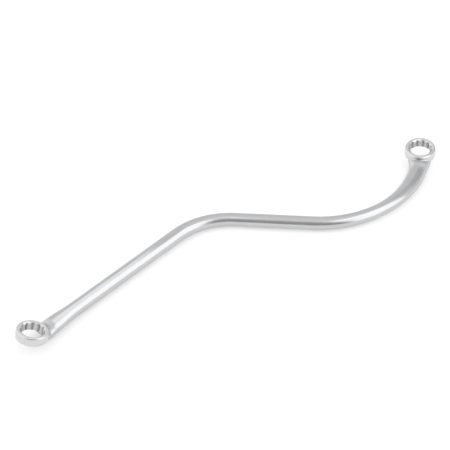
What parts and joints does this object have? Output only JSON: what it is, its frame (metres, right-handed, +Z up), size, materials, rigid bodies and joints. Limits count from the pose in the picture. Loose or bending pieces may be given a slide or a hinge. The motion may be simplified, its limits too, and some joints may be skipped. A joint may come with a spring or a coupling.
{
  "type": "injector pump wrench",
  "caption": "S-bent ring wrench with a round bar shank and a raised, broached ring head at each end, for reaching pump mounting nuts behind obstructions.",
  "frame": {"origin": "centre of the overall box, on the level plane that the shank's underside rests on", "axes": "+X from the long leg's ring centre to the hook's ring centre, +Z up, towards the side that the rings are raised to"},
  "size_m": [0.3092, 0.063, 0.0149],
  "materials": {
    "shank_chrome": "satin chrome plate on a drawn steel bar",
    "head_chrome": "satin chrome plate on a forged and broached steel head"
  },
  "bodies": {
    "root": {"shank": "shank_chrome", "long_leg_ring_head": "head_chrome", "hook_ring_head": "head_chrome"}
  },
  "joints": []
}
